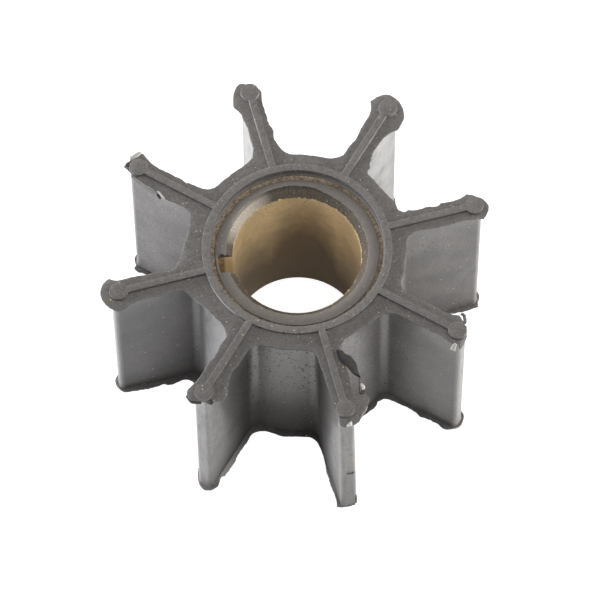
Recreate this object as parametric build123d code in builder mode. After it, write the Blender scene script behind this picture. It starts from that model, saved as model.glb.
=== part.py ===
"""Rubber pump impeller with eight straight vanes, moulded round a keyed brass bush.

The bore axis is the Z axis. Z = 0 is the plane of the lower beads, on which the impeller lies.
Vane 1 points along +Y and the vanes are numbered clockwise seen from above, so vane 3 points along +X.
"""
from build123d import *
from math import hypot
import os

# Driving dimensions, in millimetres and degrees
vane_count = 8
first_vane_angle = 90.0
overall_diameter = 57.0
overall_height = 31.0
vane_thickness = 2.4
tip_setback = 0.4
root_fillet = 1.4

# Hub: the shaft's bore, the brass bush and the rubber round it
shaft_diameter = 19.05
bush_wall = 3.225
hub_wall = 2.65
bush_recess = 1.5
mouth_flare = 0.18
lead_in = 0.95
keyway_width = 3.0
keyway_depth = 2.25
keyway_angle = 175.0

# Beads raised on both end faces
bead_height = 0.55
bead_edge_break = 0.12
tip_disc_diameter = 2.75
rib_width = 1.05
ring_width = 1.3

# Rubber film left on each end of the bush, inside a bare brass ledge
film_thickness = 0.28
ledge_width = 0.6

# Flash left at the parting line on the two end faces
flash_thickness = 0.2
flash_hub_reach = 0.6
flash_root_round = 1.5
lower_flash_hub_reach = 0.9
lower_flash_side_reach = 0.75
lower_flash_tip_reach = 0.35
tip_flash_overlap = 0.2

# How far the upper flash stands off the two sides of each vane, from vane 1 on:
# the clockwise side, then the other
side_flash = [
    (0.3, 0.85),
    (0.6, 0.7),
    (0.65, 0.7),
    (0.7, 0.7),
    (0.3, 0.8),
    (0.7, 0.7),
    (0.65, 0.8),
    (0.45, 0.8),
]

# Edge of the upper flash round each vane tip, from the clockwise side to the other, from vane 1 on.
# Each point is (outwards from the tip disc's centre, across the vane).
# A smooth curve joins the points of one stretch, and a torn corner starts the next stretch.
tip_flash = [
    [
        [(-4.6, -1.5), (-2.1, -1.45), (-0.3, -1.75)],
        [(-0.3, -1.75), (1.0, -1.15), (1.6, 0.1), (2.0, 0.9), (0.9, 2.2), (-0.1, 2.65), (-1.75, 2.9)],
        [(-1.75, 2.9), (-3.1, 2.2), (-4.6, 2.05)],
    ],
    [
        [(-4.6, -1.8), (-3.3, -2.4), (-2.3, -3.1)],
        [(-2.3, -3.1), (0.1, -2.7), (1.6, -1.4), (2.2, 0.9), (0.9, 2.6), (-0.1, 3.0)],
        [(-0.1, 3.0), (-1.1, 2.3), (-3.1, 1.85), (-4.6, 1.9)],
    ],
    [
        [(-4.6, -1.85), (-0.6, -2.0), (0.9, -2.35)],
        [(0.9, -2.35), (1.8, -1.4), (2.15, 0.0), (1.6, 1.1), (0.6, 2.0), (-0.5, 2.55)],
        [(-0.5, 2.55), (-1.6, 1.95), (-4.6, 1.9)],
    ],
    [
        [(-4.6, -1.9), (-0.9, -1.95), (0.7, -1.85), (1.4, -0.7), (1.2, 0.3)],
        [(1.2, 0.3), (0.8, 1.35)],
        [(0.8, 1.35), (0.0, 1.9), (-2.0, 1.95), (-4.6, 1.9)],
    ],
    [
        [(-4.6, -1.5), (0.5, -1.4), (2.3, -1.3)],
        [(2.3, -1.3), (2.7, -0.3), (2.3, 1.1), (1.1, 2.3), (-0.4, 3.2), (-1.7, 3.4)],
        [(-1.7, 3.4), (-2.1, 2.5), (-3.1, 2.15), (-4.6, 2.0)],
    ],
    [
        [(-4.6, -1.9), (-1.1, -2.0), (0.7, -2.45)],
        [(0.7, -2.45), (1.6, -2.0), (2.0, -1.2)],
        [(2.0, -1.2), (1.4, 0.3), (0.5, 1.9), (-1.1, 3.1), (-3.1, 2.3), (-4.6, 1.9)],
    ],
    [
        [(-4.6, -1.85), (-1.9, -2.0), (0.4, -2.3), (0.8, -2.65)],
        [(0.8, -2.65), (2.2, -1.6), (2.7, 0.0), (2.2, 1.7), (0.4, 2.9), (-1.3, 2.3), (-4.6, 2.0)],
    ],
    [
        [(-4.6, -1.65), (-1.1, -1.75), (0.7, -2.55)],
        [(0.7, -2.55), (1.6, -2.2), (2.2, -1.2)],
        [(2.2, -1.2), (1.85, -0.5), (2.1, 0.7)],
        [(2.1, 0.7), (0.9, 1.15), (-0.9, 1.6), (-4.6, 2.0)],
    ],
]

# Sizes that follow from the driving ones
vane_pitch = 360 / vane_count
shaft_radius = shaft_diameter / 2
bush_radius = shaft_radius + bush_wall
hub_radius = bush_radius + hub_wall
ring_radius = bush_radius + ring_width
mouth_radius = bush_radius + mouth_flare
film_radius = bush_radius - ledge_width
lead_in_radius = shaft_radius + lead_in
keyway_radius = shaft_radius + keyway_depth
bush_bottom = bush_recess
bush_top = overall_height - bush_recess
lower_face = bead_height
upper_face = overall_height - bead_height
tip_disc_radius = tip_disc_diameter / 2
tip_disc_centre = overall_diameter / 2 - tip_disc_radius
vane_tip_radius = overall_diameter / 2 - tip_setback
vane_tip_centre = vane_tip_radius - vane_thickness / 2
flash_hub_radius = hub_radius + flash_hub_reach
lower_flash_hub_radius = hub_radius + lower_flash_hub_reach
lower_flash_width = vane_thickness + 2 * lower_flash_side_reach
lower_flash_tip_centre = vane_tip_radius + lower_flash_tip_reach - lower_flash_width / 2

# Two lengths closer than this count as the same
same_length = 0.01


def vane_angle(vane):
    """Direction of a vane, counted clockwise from vane 1."""
    return first_vane_angle - (vane - 1) * vane_pitch


def of_vane(vane, table):
    """The entry of a table that belongs to a vane; the table starts again after its last entry."""
    return table[(vane - 1) % len(table)]


def root_corners(outline, radius):
    """Corners of an outline that lie on the hub circle, where the vanes leave it."""
    return [v for v in outline.vertices() if abs(hypot(v.X, v.Y) - radius) < same_length]


def star(radius, arm_centre, arm_width, corner_round):
    """Hub disc with a round-ended arm for each vane, rounded where the arms leave the hub."""
    with BuildSketch() as outline:
        Circle(radius)
        with PolarLocations(arm_centre / 2, vane_count, start_angle=first_vane_angle):
            SlotCenterToCenter(arm_centre, arm_width)
        fillet(root_corners(outline, radius), corner_round)
    return outline.sketch


def tip_lobe(vane):
    """Flash round one vane tip, in the plane of the end face."""
    tip_plane = Plane(Rot(0, 0, vane_angle(vane)) * Pos(tip_disc_centre, 0))
    stretches = of_vane(vane, tip_flash)
    with BuildSketch() as lobe:
        with BuildLine(tip_plane):
            for stretch in stretches:
                if len(stretch) > 2:
                    Spline(*stretch)
                else:
                    Line(*stretch)
            Line(stretches[-1][-1], stretches[0][0])
        make_face()
    return lobe.sketch


def upper_flash_outline():
    """Upper flash in plan: hub, a strip along each vane with its own reach to each side, and the tips."""
    with BuildSketch() as outline:
        Circle(flash_hub_radius)
        for vane in range(1, vane_count + 1):
            clockwise_reach, other_reach = of_vane(vane, side_flash)
            strip_length = tip_disc_centre + of_vane(vane, tip_flash)[0][0][0] + tip_flash_overlap
            strip_width = vane_thickness + clockwise_reach + other_reach
            strip_shift = (other_reach - clockwise_reach) / 2
            with Locations(Rot(0, 0, vane_angle(vane)) * Pos(strip_length / 2, strip_shift)):
                Rectangle(strip_length, strip_width)
        fillet(root_corners(outline, flash_hub_radius), flash_root_round)
        for vane in range(1, vane_count + 1):
            add(tip_lobe(vane))
    return outline.sketch


def bead_outline():
    """Beads in plan: a ring round the hub and a rib to a disc at each vane tip."""
    with BuildSketch() as outline:
        Circle(ring_radius)
        with PolarLocations(tip_disc_centre / 2, vane_count, start_angle=first_vane_angle):
            Rectangle(tip_disc_centre, rib_width)
        with PolarLocations(tip_disc_centre, vane_count, start_angle=first_vane_angle):
            Circle(tip_disc_radius)
    return outline.sketch


def keyway_outline():
    """Keyway in plan: parallel sides, and a bottom that follows a circle about the bore axis."""
    with BuildSketch() as outline:
        Circle(keyway_radius)
        with Locations(Rot(0, 0, keyway_angle) * Pos(keyway_radius / 2, 0)):
            Rectangle(keyway_radius, keyway_width, mode=Mode.INTERSECT)
    return outline.sketch


# Rubber moulding: hub, vanes, beads and flash in one piece, with the seat of the bush cut through it
body_outline = star(hub_radius, vane_tip_centre, vane_thickness, root_fillet)
lower_flash_outline = star(
    lower_flash_hub_radius, lower_flash_tip_centre, lower_flash_width, flash_root_round
)
lower_bead_plane = Plane.XY.offset(lower_face).rotated((0, 180, 0))

with BuildPart() as rubber_body:
    with BuildSketch(Plane.XY.offset(lower_face)):
        add(body_outline)
    extrude(amount=upper_face - lower_face)
    with BuildSketch(Plane.XY.offset(upper_face)):
        add(upper_flash_outline())
    extrude(amount=-flash_thickness)
    with BuildSketch(Plane.XY.offset(lower_face)):
        add(lower_flash_outline)
    extrude(amount=flash_thickness)
    with BuildSketch(Plane.XY.offset(upper_face), lower_bead_plane):
        add(bead_outline())
    extrude(amount=bead_height)
    bead_rims = faces().filter_by(Plane.XY).group_by(Axis.Z)
    chamfer(bead_rims[0].edges() + bead_rims[-1].edges(), bead_edge_break)
    with BuildSketch(Plane.XZ):
        with BuildLine():
            Polyline(
                (0, 0),
                (mouth_radius, 0),
                (bush_radius, bush_bottom),
                (bush_radius, bush_top),
                (mouth_radius, overall_height),
                (0, overall_height),
                close=True,
            )
        make_face()
    revolve(axis=Axis.Z, mode=Mode.SUBTRACT)
rubber_body.part.label = "rubber_body"

# Brass bush, bonded into the rubber, with a lead-in at both ends and a keyway from end to end
with BuildPart() as hub_bush:
    with BuildSketch(Plane.XY.offset(bush_bottom)):
        Circle(bush_radius)
        Circle(shaft_radius, mode=Mode.SUBTRACT)
    extrude(amount=bush_top - bush_bottom)
    bore_rims = edges().filter_by(GeomType.CIRCLE).group_by(SortBy.RADIUS)[0]
    chamfer(bore_rims, lead_in)
    with BuildSketch(Plane.XY.offset(bush_bottom)):
        add(keyway_outline())
    extrude(amount=bush_top - bush_bottom, mode=Mode.SUBTRACT)
hub_bush.part.label = "hub_bush"


def end_film(base):
    """Thin ring of rubber bonded to one end of the bush, cut away over the keyway."""
    with BuildPart() as film:
        with BuildSketch(base):
            Circle(film_radius)
            Circle(lead_in_radius, mode=Mode.SUBTRACT)
            add(keyway_outline(), mode=Mode.SUBTRACT)
        extrude(amount=film_thickness)
    return film.part


upper_film = end_film(Plane.XY.offset(bush_top))
upper_film.label = "upper_end_film"
lower_film = end_film(Plane.XY.offset(bush_bottom - film_thickness))
lower_film.label = "lower_end_film"

os.makedirs("parts", exist_ok=True)
export_step(rubber_body.part, "parts/rubber_body.step")
export_step(hub_bush.part, "parts/hub_bush.step")
export_step(upper_film, "parts/upper_end_film.step")
export_step(lower_film, "parts/lower_end_film.step")
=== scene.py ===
"""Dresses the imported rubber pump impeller: a moulded rubber star with torn flash, round a keyed brass bush.

Sizes are in millimetres and become metres when a mesh is made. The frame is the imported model's own:
the bore's axis is Z, the impeller lies on Z = 0, vane 1 points along +Y and the vanes are numbered
clockwise seen from above. A point on a vane is given as (along, across): its distance from the bore's
axis along the vane, and its distance to the anticlockwise side of the vane's middle.
"""
import math

import bmesh
import bpy
import numpy as np
from mathutils import Matrix, Vector


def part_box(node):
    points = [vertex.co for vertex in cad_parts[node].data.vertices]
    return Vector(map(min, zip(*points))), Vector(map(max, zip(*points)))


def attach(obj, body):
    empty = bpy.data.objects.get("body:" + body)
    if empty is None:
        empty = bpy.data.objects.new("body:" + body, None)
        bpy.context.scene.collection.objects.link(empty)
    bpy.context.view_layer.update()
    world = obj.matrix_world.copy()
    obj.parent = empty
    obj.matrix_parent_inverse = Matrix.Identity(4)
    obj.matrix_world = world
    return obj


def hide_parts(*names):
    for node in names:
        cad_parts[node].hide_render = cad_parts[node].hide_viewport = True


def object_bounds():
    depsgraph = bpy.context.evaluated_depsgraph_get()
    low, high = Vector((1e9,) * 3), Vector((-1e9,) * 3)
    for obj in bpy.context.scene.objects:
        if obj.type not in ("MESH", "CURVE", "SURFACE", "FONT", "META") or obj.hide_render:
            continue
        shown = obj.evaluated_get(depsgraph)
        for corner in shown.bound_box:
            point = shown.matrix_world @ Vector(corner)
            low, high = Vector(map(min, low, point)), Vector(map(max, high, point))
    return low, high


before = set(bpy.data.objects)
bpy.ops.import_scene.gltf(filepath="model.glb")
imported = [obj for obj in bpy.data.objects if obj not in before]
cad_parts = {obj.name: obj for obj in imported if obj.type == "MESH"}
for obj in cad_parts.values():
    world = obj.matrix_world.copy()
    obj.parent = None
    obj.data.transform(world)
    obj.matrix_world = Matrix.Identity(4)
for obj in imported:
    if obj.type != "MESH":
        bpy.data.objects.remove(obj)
cad_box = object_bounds()

MM = 0.001

# Sizes of the impeller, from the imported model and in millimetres
bush_low, bush_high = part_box("hub_bush")
film_low, film_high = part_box("upper_end_film")
top = cad_box[1].z / MM
bush_radius = bush_high.x / MM
bush_bottom = bush_low.z / MM
bush_top = bush_high.z / MM
film_radius = film_high.x / MM
film_thickness = (film_high.z - film_low.z) / MM

vane_count = 8
half_pitch = math.pi / vane_count
bead_height = 0.55
bead_round = 0.06
upper_face = top - bead_height
bead_draft = 0.04
bead_bottom = upper_face - 0.15
lower_face = bead_height
hub_radius = 15.4
ring_radius = 14.05
mouth_radius = 12.93
vane_half = 1.2
spine_start = ring_radius - 0.55
spine_end = 27.4
end_crown = 0.08
tip_disc_centre = 27.125
tip_disc_radius = 1.375
rib_half = 0.525
rib_top = top - 0.015
root_round = 1.4
bore_radius = 9.525
lead_in_radius = 10.475
keyway_half = 1.5
keyway_radius = 11.775
keyway_angle = math.radians(175)
shaded_side_angle = math.radians(68)
glint_angle = math.radians(127)
front_angle = math.radians(-112.5)
painted_light_angle = math.radians(-157.5)
worn_angle = math.radians(100)

# Flash
flash_thickness = 0.2
flash_root = 0.12
flash_sag = 0.07
sag_start = 0.6
lobe_start = 22.525

# Edge of the upper flash in the gap after each vane, from that vane to the next one clockwise, as
# (outwards, anticlockwise) from the bore's axis and the middle of the gap
gap_edges = {
    1: [(21.38, 7.23), (20.8, 7.0), (20.0, 6.6), (19.4, 6.15), (18.5, 5.9), (17.7, 5.6), (17.0, 5.1),
        (16.2, 4.3), (15.85, 3.6), (15.7, 3.0), (15.8, 2.0), (15.88, 0.5), (15.88, -0.8), (15.78, -2.2),
        (15.75, -3.0), (15.95, -3.8), (16.4, -4.5), (17.0, -4.95), (18.0, -5.45), (19.0, -6.0), (20.0, -6.5),
        (21.55, -6.86)],
    2: [(21.5, 6.96), (20.0, 6.35), (19.0, 6.0), (18.4, 5.6), (18.0, 5.1), (17.3, 4.7), (17.0, 4.15),
        (16.2, 3.9), (16.0, 3.5), (16.05, 2.5), (16.1, 1.5), (16.12, 0.3), (16.1, -1.2), (16.22, -1.9),
        (16.25, -2.6), (16.0, -3.3), (15.9, -3.9), (16.2, -4.55), (16.6, -4.8), (17.1, -4.87), (17.5, -5.25),
        (18.0, -5.55), (19.0, -5.95), (20.0, -6.35), (20.8, -6.9), (21.53, -6.86)],
    3: [(21.52, 6.91), (20.0, 6.2), (19.0, 5.95), (18.0, 5.6), (17.0, 5.15), (16.4, 4.6), (16.0, 4.0),
        (15.85, 3.4), (15.95, 2.7), (16.08, 2.0), (16.1, 1.0), (16.02, 0.0), (16.08, -1.0), (16.1, -1.8),
        (15.95, -2.7), (15.88, -3.4), (16.1, -4.2), (16.5, -4.65), (17.1, -5.0), (18.0, -5.4), (19.0, -5.8),
        (20.0, -6.25), (21.53, -6.86)],
    4: [(21.54, 6.86), (20.0, 6.2), (19.0, 5.8), (18.0, 5.45), (17.3, 5.1), (16.8, 4.65), (16.4, 4.0),
        (16.15, 3.2), (16.2, 2.2), (16.25, 1.2), (16.1, 0.2), (16.12, -1.0), (16.08, -2.0), (15.98, -3.0),
        (16.05, -3.8), (16.35, -4.35), (16.95, -4.85), (17.3, -5.45), (18.2, -5.75), (19.5, -6.05),
        (20.5, -6.4), (21.57, -6.77)],
    5: [(21.38, 7.23), (20.0, 6.55), (19.0, 6.1), (18.0, 5.65), (17.2, 5.25), (16.6, 4.8), (16.25, 4.1),
        (16.25, 3.0), (16.4, 2.0), (16.5, 1.0), (16.55, 0.0), (16.5, -1.0), (16.4, -2.0), (16.3, -3.0),
        (16.35, -3.9), (16.8, -4.55), (17.5, -4.95), (18.2, -5.3), (19.0, -5.65), (20.0, -6.1), (20.8, -6.6),
        (21.53, -6.86)],
    6: [(21.54, 6.86), (20.0, 6.4), (19.0, 5.9), (18.0, 5.4), (16.95, 4.95), (16.45, 4.2), (16.25, 3.3),
        (16.25, 2.2), (16.35, 1.1), (16.45, 0.0), (16.62, -1.0), (16.82, -2.0), (16.95, -3.0), (17.1, -3.9),
        (17.25, -4.6), (17.65, -5.1), (18.3, -5.35), (19.0, -5.65), (20.0, -6.05), (21.57, -6.77)],
    7: [(21.52, 6.91), (20.6, 6.55), (19.8, 6.3), (18.7, 6.05), (17.8, 5.65), (17.35, 5.0), (17.05, 4.0),
        (16.85, 3.0), (16.68, 2.0), (16.52, 1.0), (16.42, 0.0), (16.35, -1.0), (16.3, -2.0), (16.35, -3.0),
        (16.6, -3.9), (17.05, -4.5), (17.8, -5.0), (18.6, -5.3), (19.5, -5.6), (20.4, -5.85), (20.8, -6.3),
        (21.57, -6.77)],
    8: [(21.44, 7.1), (20.8, 6.9), (20.0, 6.47), (19.3, 6.3), (18.2, 5.7), (17.0, 5.1), (16.3, 4.6),
        (15.9, 4.1), (15.65, 3.5), (15.62, 3.0), (15.75, 2.2), (15.9, 1.0), (15.95, 0.0), (15.93, -1.2),
        (15.9, -2.2), (15.98, -3.0), (16.15, -3.85), (16.5, -4.4), (17.0, -4.87), (18.0, -5.38),
        (19.0, -5.8), (20.0, -6.25), (21.59, -6.72)],
}

# Edge of the upper flash round each vane tip, as (outwards from the tip disc's centre, across).
# A smooth curve joins the points of one stretch, and a torn corner starts the next stretch.
tip_edges = {
    1: [[(-4.6, -1.5), (-2.1, -1.45), (-0.3, -1.75)],
        [(-0.3, -1.75), (1.0, -1.15), (1.6, 0.1), (2.0, 0.9), (0.9, 2.2), (-0.1, 2.65), (-1.75, 2.9)],
        [(-1.75, 2.9), (-3.1, 2.2), (-4.6, 2.05)]],
    2: [[(-4.6, -1.8), (-3.3, -2.4), (-2.3, -3.1)],
        [(-2.3, -3.1), (0.1, -2.7), (1.6, -1.4), (2.2, 0.9), (0.9, 2.6), (-0.1, 3.0)],
        [(-0.1, 3.0), (-1.1, 2.3), (-3.1, 1.85), (-4.6, 1.9)]],
    3: [[(-4.6, -1.85), (-0.6, -2.0), (0.9, -2.33)],
        [(0.9, -2.33), (1.8, -1.4), (2.15, -0.3), (1.95, 0.4), (1.6, 0.9), (0.7, 1.6), (-0.4, 2.35)],
        [(-0.4, 2.35), (-1.6, 1.9), (-4.6, 1.9)]],
    4: [[(-4.6, -1.9), (-0.9, -1.95), (0.7, -1.85), (1.4, -0.7), (1.33, 0.3)],
        [(1.33, 0.3), (1.12, 0.77), (0.87, 1.37)],
        [(0.87, 1.37), (0.42, 1.52), (0.05, 1.84), (-1.03, 2.5)],
        [(-1.03, 2.5), (-2.0, 2.1), (-4.6, 1.9)]],
    5: [[(-4.6, -1.5), (0.5, -1.4), (2.3, -1.35)],
        [(2.3, -1.35), (2.6, -0.7), (2.68, 0.1), (2.55, 0.9), (2.3, 1.4), (1.7, 1.9), (0.9, 2.55),
         (0.2, 3.2), (-0.6, 3.8), (-1.5, 3.85)],
        [(-1.5, 3.85), (-1.95, 3.1), (-1.85, 2.6), (-2.3, 2.1), (-4.6, 2.0)]],
    6: [[(-4.6, -1.9), (-1.1, -2.0), (0.7, -2.45)],
        [(0.7, -2.45), (1.6, -2.0), (2.0, -1.2)],
        [(2.0, -1.2), (1.4, 0.3), (0.5, 1.9), (-1.1, 3.1), (-3.1, 2.3), (-4.6, 1.9)]],
    7: [[(-4.6, -1.85), (-1.9, -2.0), (0.4, -2.3), (0.8, -2.65)],
        [(0.8, -2.65), (2.2, -1.6), (2.7, 0.0), (2.2, 1.7), (0.4, 2.9), (-1.3, 2.3), (-4.6, 2.0)]],
    8: [[(-4.6, -1.65), (-1.1, -1.75), (0.7, -2.55)],
        [(0.7, -2.55), (1.6, -2.2), (2.2, -1.2)],
        [(2.2, -1.2), (1.85, -0.5), (2.1, 0.7)],
        [(2.1, 0.7), (0.9, 1.15), (-0.9, 1.6), (-4.6, 2.0)]],
}

# Edge of the lower flash, given in the same way; vanes and gaps that aren't listed have the plain edge
lower_half_gap = [(21.57, 6.77), (20.0, 6.3), (19.0, 5.9), (18.0, 5.5), (17.2, 5.1), (16.6, 4.6),
                  (16.2, 4.0), (16.1, 3.2), (16.3, 2.0), (16.4, 1.0)]
lower_gap = lower_half_gap + [(16.4, 0.0)] + [(out, -across) for out, across in lower_half_gap[::-1]]
lower_gap_edges = {
    3: lower_gap[:-1] + [(21.57, -6.72)],
    4: [(21.62, 6.68), (20.0, 6.3), (18.0, 5.4), (17.0, 4.95), (16.3, 4.5), (15.95, 4.0), (15.8, 3.4),
        (15.72, 3.1), (15.9, 2.85), (16.12, 2.6), (16.25, 2.0), (16.3, 1.0), (16.35, 0.0), (16.3, -1.5),
        (16.2, -3.0), (16.4, -4.0), (16.9, -4.9), (17.8, -5.6), (19.0, -6.3), (20.0, -6.75), (21.34, -7.33)],
    5: [(21.44, 7.1), (20.0, 6.7), (18.5, 6.05), (17.5, 5.5), (16.8, 5.05), (16.3, 4.5), (16.12, 4.0),
        (16.18, 3.2), (16.33, 2.0), (16.45, 1.0), (16.5, 0.3), (16.45, -0.4), (16.22, -1.5), (16.08, -2.4),
        (16.05, -3.0), (16.15, -3.7), (16.45, -4.3), (17.0, -4.85), (18.0, -5.3), (19.0, -5.75),
        (20.0, -6.2), (21.61, -6.68)],
    6: [(21.57, 6.77), (20.0, 6.3), (19.0, 5.9), (18.0, 5.5), (17.0, 4.9), (16.5, 4.2), (16.3, 3.3),
        (16.3, 2.2), (16.4, 1.1), (16.5, 0.0), (16.65, -1.0), (16.85, -2.0), (17.0, -3.0), (17.05, -3.9),
        (17.25, -4.5), (17.6, -4.9), (18.4, -5.22), (19.3, -5.38), (20.0, -5.5), (20.4, -5.95),
        (21.65, -6.58)],
    7: lower_gap[:-1] + [(21.61, -6.68)],
}
lower_tip = [[(-4.6, -2.0), (-0.6, -1.95), (0.4, -1.55), (1.05, -0.8), (1.3, 0.0), (1.05, 0.8), (0.4, 1.55),
              (-0.6, 1.95), (-4.6, 2.0)]]
lower_tip_edges = {
    3: [[(-4.6, -1.95), (-2.6, -2.05), (-0.9, -2.12), (-0.1, -1.97), (0.75, -2.0)],
        [(0.75, -2.0), (0.85, -1.5), (0.92, -1.0), (1.15, -0.6)],
        [(1.15, -0.6), (1.25, 0.0), (1.0, 0.9), (0.4, 1.6), (-0.6, 1.95), (-4.6, 2.0)]],
    4: [[(-4.6, -2.1), (-1.5, -2.05), (-0.5, -2.15), (0.2, -1.9), (0.9, -1.35), (1.3, -0.9), (1.48, -0.4),
         (1.4, 0.2), (1.3, 0.65)],
        [(1.3, 0.65), (1.0, 1.3), (0.4, 1.7), (-0.6, 1.95), (-4.6, 1.9)]],
    5: [[(-4.6, -1.65), (-3.0, -1.6), (-1.0, -1.55), (0.4, -1.45), (1.45, -1.6)],
        [(1.45, -1.6), (1.68, -1.2), (1.86, -0.4), (1.92, 0.2), (1.97, 0.98)],
        [(1.97, 0.98), (1.1, 1.3), (0.3, 1.62)],
        [(0.3, 1.62), (-0.5, 1.5), (-2.0, 1.4), (-4.6, 1.4)]],
    6: [[(-4.6, -2.0), (-2.0, -2.0), (-0.9, -2.12)],
        [(-0.9, -2.12), (0.1, -1.6), (0.9, -1.05), (1.5, -0.5), (1.68, 0.2), (1.6, 0.75), (1.3, 1.35),
         (0.7, 1.8), (-0.1, 1.87), (-1.0, 1.65)],
        [(-1.0, 1.65), (-1.55, 1.72), (-1.75, 2.0)],
        [(-1.75, 2.0), (-2.5, 2.05), (-4.6, 2.1)]],
    7: [[(-4.6, -2.0), (-0.6, -1.9), (0.4, -1.5), (1.05, -0.8), (1.3, 0.1), (1.26, 0.6), (1.05, 1.2),
         (0.7, 1.7), (0.1, 1.92), (-1.1, 2.04), (-2.6, 2.15), (-4.6, 2.2)]],
    8: [[(-4.6, -2.0), (-0.6, -1.95), (0.3, -1.6), (0.95, -0.8), (1.1, 0.0), (0.92, 0.75)],
        [(0.92, 0.75), (0.62, 1.3), (0.58, 2.05)],
        [(0.58, 2.05), (0.15, 2.22), (-1.2, 2.18), (-4.6, 2.1)]],
}

# Torn and curled bits of flash on a vane: its two edges as (along, across, height), how far it bulges up
# between them, and how it is painted, from -1, black as painted shade, to 1, pale as a painted highlight
torn_bits = [
    (5, [(17.5, 1.3, 30.35), (17.71, 2.1, 30.3), (18.35, 2.41, 30.25), (18.67, 2.87, 30.2),
         (19.31, 3.24, 30.1), (20.0, 3.54, 30.0), (20.78, 3.54, 30.0), (21.52, 3.47, 30.0),
         (22.31, 3.53, 30.1), (22.7, 3.46, 30.2)],
     [(17.78, 1.25, 30.5), (18.35, 1.22, 30.54), (19.32, 1.36, 30.55), (20.28, 1.83, 30.55),
         (21.06, 2.25, 30.5), (21.9, 2.67, 30.4), (22.34, 3.11, 30.3), (22.6, 3.35, 30.25)], 0.15, -0.95),
    (5, [(22.5, 3.45, 30.2), (23.7, 3.12, 30.1), (25.0, 2.82, 30.3)],
     [(22.5, 3.3, 30.2), (23.7, 2.98, 30.1), (25.0, 2.68, 30.3)], 0.06, -0.7),
    (5, [(23.6, 3.5, 30.2), (24.2, 3.75, 30.3), (24.7, 3.6, 30.3)],
     [(23.75, 3.15, 30.2), (24.3, 3.2, 30.3), (24.75, 3.15, 30.3)], 0.15, 1.0),
    (5, [(24.55, 3.75, 30.3), (25.1, 3.5, 30.35), (25.4, 3.3, 30.4)],
     [(24.75, 3.05, 30.3), (25.0, 2.8, 30.35), (25.2, 2.7, 30.4)], 0.1, -0.9),
    (5, [(27.3, 3.08, 30.2), (27.7, 2.8, 30.25), (28.2, 2.3, 30.25), (28.8, 1.75, 30.2)],
     [(27.35, 3.3, 30.05), (27.8, 3.0, 30.1), (28.35, 2.45, 30.1), (28.95, 1.9, 30.05)], 0.05, 0.4),
    (5, [(29.72, -0.55, 30.35), (29.45, -0.1, 30.6), (29.14, 0.36, 30.45)],
     [(29.85, -0.4, 30.1), (29.83, 0.0, 30.1), (29.79, 0.24, 30.1)], 0.1, 1.0),
    (5, [(28.58, -0.15, 11.5), (28.6, 0.4, 11.38), (28.54, 1.0, 11.5)],
     [(28.6, -0.15, 11.35), (28.62, 0.4, 11.12), (28.56, 1.0, 11.25)], 0.03, -0.5),
    (5, [(28.35, 1.4, 0.7), (28.4, 1.42, 1.8), (28.4, 1.4, 3.0)],
     [(28.8, 1.33, 0.7), (28.82, 1.35, 1.8), (28.7, 1.36, 3.0)], 0.04, -0.8),
    (4, [(26.15, 3.05, 30.25), (26.65, 3.12, 30.2), (27.12, 2.68, 30.15), (27.45, 2.2, 30.2),
         (27.6, 1.7, 30.3)],
     [(26.1, 2.6, 30.25), (26.4, 2.66, 30.2), (26.76, 2.36, 30.15), (27.02, 1.98, 30.2), (27.2, 1.6, 30.3)],
         0.1, -0.2),
    (4, [(28.5, 0.3, 30.35), (28.3, 0.1, 30.4), (28.33, -0.29, 30.4), (28.35, -1.06, 30.4),
         (28.3, -1.54, 30.3)],
     [(28.2, 1.0, 28.1), (28.3, 0.26, 27.9), (28.42, -0.72, 28.0), (28.4, -1.4, 28.2)], 0.08, -0.7),
    (4, [(27.6, -1.9, 30.35), (27.55, -2.5, 30.3), (27.58, -3.05, 30.2)],
     [(28.05, -1.8, 30.35), (28.25, -2.35, 30.25), (28.4, -2.85, 30.1)], 0.12, 0.55),
    (8, [(28.75, -0.65, 30.45), (28.42, -1.1, 30.55), (28.15, -1.68, 30.55), (28.0, -2.3, 30.45)],
     [(29.12, -0.85, 30.3), (29.08, -1.5, 30.3), (28.85, -2.05, 30.25), (28.4, -2.5, 30.3)], 0.3, 0.85),
    (8, [(28.45, -0.6, 30.45), (29.05, -0.2, 30.4), (29.25, 0.65, 30.1)],
     [(28.2, 0.0, 30.35), (28.25, 0.55, 30.3), (28.95, 0.85, 30.1)], 0.12, -0.95),
    (8, [(27.4, 1.45, 30.45), (26.8, 1.75, 30.5), (25.57, 1.98, 30.5), (24.33, 2.15, 30.5),
         (23.5, 2.1, 30.5), (22.5, 2.15, 30.45)],
     [(27.3, 1.7, 30.2), (26.73, 2.05, 30.15), (25.53, 2.32, 30.1), (24.31, 2.45, 30.1), (23.39, 2.46, 30.1),
         (22.67, 2.5, 30.15)], 0.12, 0.25),
    (8, [(22.8, 1.78, 30.5), (22.1, 1.95, 30.55), (21.2, 2.38, 30.45)],
     [(22.65, 1.95, 30.35), (22.1, 2.15, 30.35), (21.2, 2.55, 30.35)], 0.08, 1.0),
    (8, [(22.75, 2.05, 30.4), (22.3, 2.25, 30.4), (21.75, 2.5, 30.35)],
     [(22.7, 2.35, 30.2), (22.3, 2.6, 30.2), (21.8, 2.8, 30.2)], 0.05, -1.0),
    (6, [(28.05, 0.65, 30.4), (27.55, 1.2, 30.45), (27.6, 1.95, 30.35)],
     [(28.15, 0.9, 30.1), (28.12, 1.3, 30.0), (28.05, 1.85, 30.1)], 0.12, -0.9),
    (6, [(28.55, -2.0, 30.35), (28.75, -1.6, 30.4), (28.9, -1.0, 30.4), (28.75, -0.4, 30.4),
         (28.4, 0.3, 30.4)],
     [(28.75, -2.1, 30.0), (29.0, -1.6, 29.85), (29.2, -1.0, 29.8), (29.0, -0.4, 29.8), (28.6, 0.4, 29.9)],
         0.06, -0.8),
]

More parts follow.
